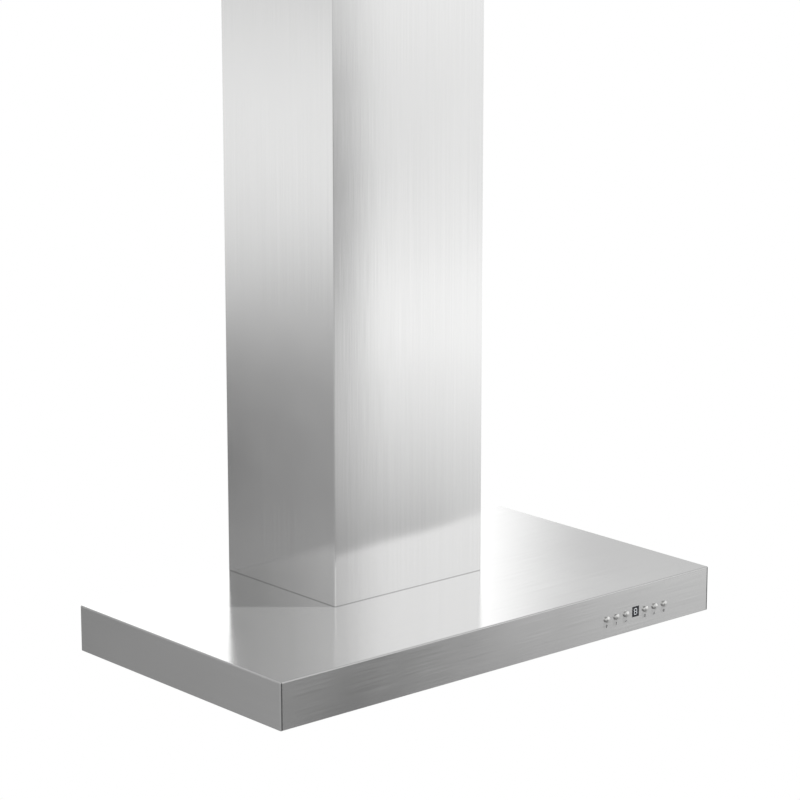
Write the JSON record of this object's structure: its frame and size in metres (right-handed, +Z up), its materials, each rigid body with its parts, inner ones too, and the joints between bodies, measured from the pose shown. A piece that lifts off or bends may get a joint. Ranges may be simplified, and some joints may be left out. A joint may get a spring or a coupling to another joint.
{
  "type": "island range hood",
  "caption": "Flat box kitchen hood hung from the ceiling inside a square telescoping chimney, with push buttons, baffle filters, lamps, blower and a round duct collar.",
  "frame": {"origin": "on the ceiling, centre of the ceiling plate's bolt pattern, at the plate's top face", "axes": "+Z up into the ceiling, -Y the front with the push buttons, +X to the right seen from the front"},
  "size_m": [0.9, 0.5052, 1.3488],
  "materials": {
    "satin_steel": "fine vertical or lengthwise satin grain",
    "galvanised": "zinc-coated sheet",
    "zinc_fasteners": "zinc-plated steel",
    "aluminium_parts": "plain",
    "filter_steel": "satin",
    "bright_steel": "polished",
    "black_plastic": "fine texture",
    "white_plastic": "plain",
    "board_green": "solder mask",
    "dark_window": "tinted window",
    "lamp_glass": "frosted",
    "motor_paint": "semi-gloss",
    "spring_steel": "spring steel strip",
    "rubber_seal": "soft"
  },
  "bodies": {
    "ceiling_mount": {"ceiling_plate": "galvanised", "upper_frame_left": "galvanised", "upper_frame_right": "galvanised", "upper_cover_front": "satin_steel", "upper_cover_back": "satin_steel", "upper_fasteners": "zinc_fasteners"},
    "hood": {"lower_frame_left": "galvanised", "lower_frame_right": "galvanised", "frame_bolts": "zinc_fasteners", "lower_cover_front": "satin_steel", "lower_cover_back": "satin_steel", "lower_cover_screws": "zinc_fasteners", "canopy_shell": "satin_steel", "base_bracket": "galvanised", "canopy_screws": "zinc_fasteners", "liner_pan": "satin_steel", "blower_box": "galvanised", "blower_scroll": "galvanised", "inlet_ring_front": "galvanised", "inlet_ring_back": "galvanised", "motor": "motor_paint", "motor_bracket": "galvanised", "capacitor": "aluminium_parts", "duct_collar": "aluminium_parts", "damper_pin": "zinc_fasteners", "junction_box": "galvanised", "junction_box_lid": "galvanised", "cable_grommet": "rubber_seal", "power_supply": "white_plastic", "control_cable": "black_plastic", "button_housing": "black_plastic", "control_board": "board_green", "display_module": "black_plastic", "display_window": "dark_window", "filter_clips": "spring_steel", "lamp_housing_1": "bright_steel", "lamp_housing_2": "bright_steel", "lamp_housing_3": "bright_steel", "lamp_housing_4": "bright_steel", "lamp_lens_1": "lamp_glass", "lamp_lens_2": "lamp_glass", "lamp_lens_3": "lamp_glass", "lamp_lens_4": "lamp_glass"},
    "blower_wheel": {"impeller": "aluminium_parts", "motor_shaft": "bright_steel"},
    "damper_left": {"damper_flap_left": "aluminium_parts"},
    "damper_right": {"damper_flap_right": "aluminium_parts"},
    "filter_left": {"filter_frame_left": "filter_steel", "filter_baffles_left": "filter_steel"},
    "filter_right": {"filter_frame_right": "filter_steel", "filter_baffles_right": "filter_steel"},
    "handle_left": {"filter_handle_left": "bright_steel"},
    "handle_right": {"filter_handle_right": "bright_steel"},
    "button_1": {"button_1": "bright_steel"},
    "button_2": {"button_2": "bright_steel"},
    "button_3": {"button_3": "bright_steel"},
    "button_4": {"button_4": "bright_steel"},
    "button_5": {"button_5": "bright_steel"},
    "button_6": {"button_6": "bright_steel"}
  },
  "joints": [
    {"name": "height_adjust", "type": "slide", "parent": "ceiling_mount", "child": "hood", "axis": [0, 0, 1], "range_m": [-0.12, 0.2]},
    {"name": "blower_spin", "type": "hinge", "parent": "hood", "child": "blower_wheel", "pos_m": [-0.043, 0, -1.159], "axis": [0, 1, 0], "continuous": true},
    {"name": "damper_left_swing", "type": "hinge", "parent": "hood", "child": "damper_left", "pos_m": [0, 0, -0.9995], "axis": [0, 1, 0], "range_deg": [0, 75]},
    {"name": "damper_right_swing", "type": "hinge", "parent": "hood", "child": "damper_right", "pos_m": [0, 0, -0.9995], "axis": [0, 1, 0], "range_deg": [-75, 0]},
    {"name": "button_1_press", "type": "slide", "parent": "hood", "child": "button_1", "axis": [0, 1, 0], "range_m": [0, 0.0008], "stiffness_N_per_m": 900, "springref_m": -0.001},
    {"name": "button_2_press", "type": "slide", "parent": "hood", "child": "button_2", "axis": [0, 1, 0], "range_m": [0, 0.0008], "stiffness_N_per_m": 900, "springref_m": -0.001},
    {"name": "button_3_press", "type": "slide", "parent": "hood", "child": "button_3", "axis": [0, 1, 0], "range_m": [0, 0.0008], "stiffness_N_per_m": 900, "springref_m": -0.001},
    {"name": "button_4_press", "type": "slide", "parent": "hood", "child": "button_4", "axis": [0, 1, 0], "range_m": [0, 0.0008], "stiffness_N_per_m": 900, "springref_m": -0.001},
    {"name": "button_5_press", "type": "slide", "parent": "hood", "child": "button_5", "axis": [0, 1, 0], "range_m": [0, 0.0008], "stiffness_N_per_m": 900, "springref_m": -0.001},
    {"name": "button_6_press", "type": "slide", "parent": "hood", "child": "button_6", "axis": [0, 1, 0], "range_m": [0, 0.0008], "stiffness_N_per_m": 900, "springref_m": -0.001},
    {"name": "filter_left_tilt", "type": "hinge", "parent": "hood", "child": "filter_left", "pos_m": [-0.182, 0.0377, -1.3208], "axis": [1, 0, 0], "range_deg": [0, 60], "deforming": ["filter_clips"]},
    {"name": "filter_right_tilt", "type": "hinge", "parent": "hood", "child": "filter_right", "pos_m": [0.182, 0.0377, -1.3208], "axis": [1, 0, 0], "range_deg": [0, 60]},
    {"name": "handle_left_swing", "type": "hinge", "parent": "filter_left", "child": "handle_left", "pos_m": [-0.182, -0.267, -1.3248], "axis": [1, 0, 0], "range_deg": [-85, 85]},
    {"name": "handle_right_swing", "type": "hinge", "parent": "filter_right", "child": "handle_right", "pos_m": [0.182, -0.267, -1.3248], "axis": [1, 0, 0], "range_deg": [-85, 85]}
  ]
}
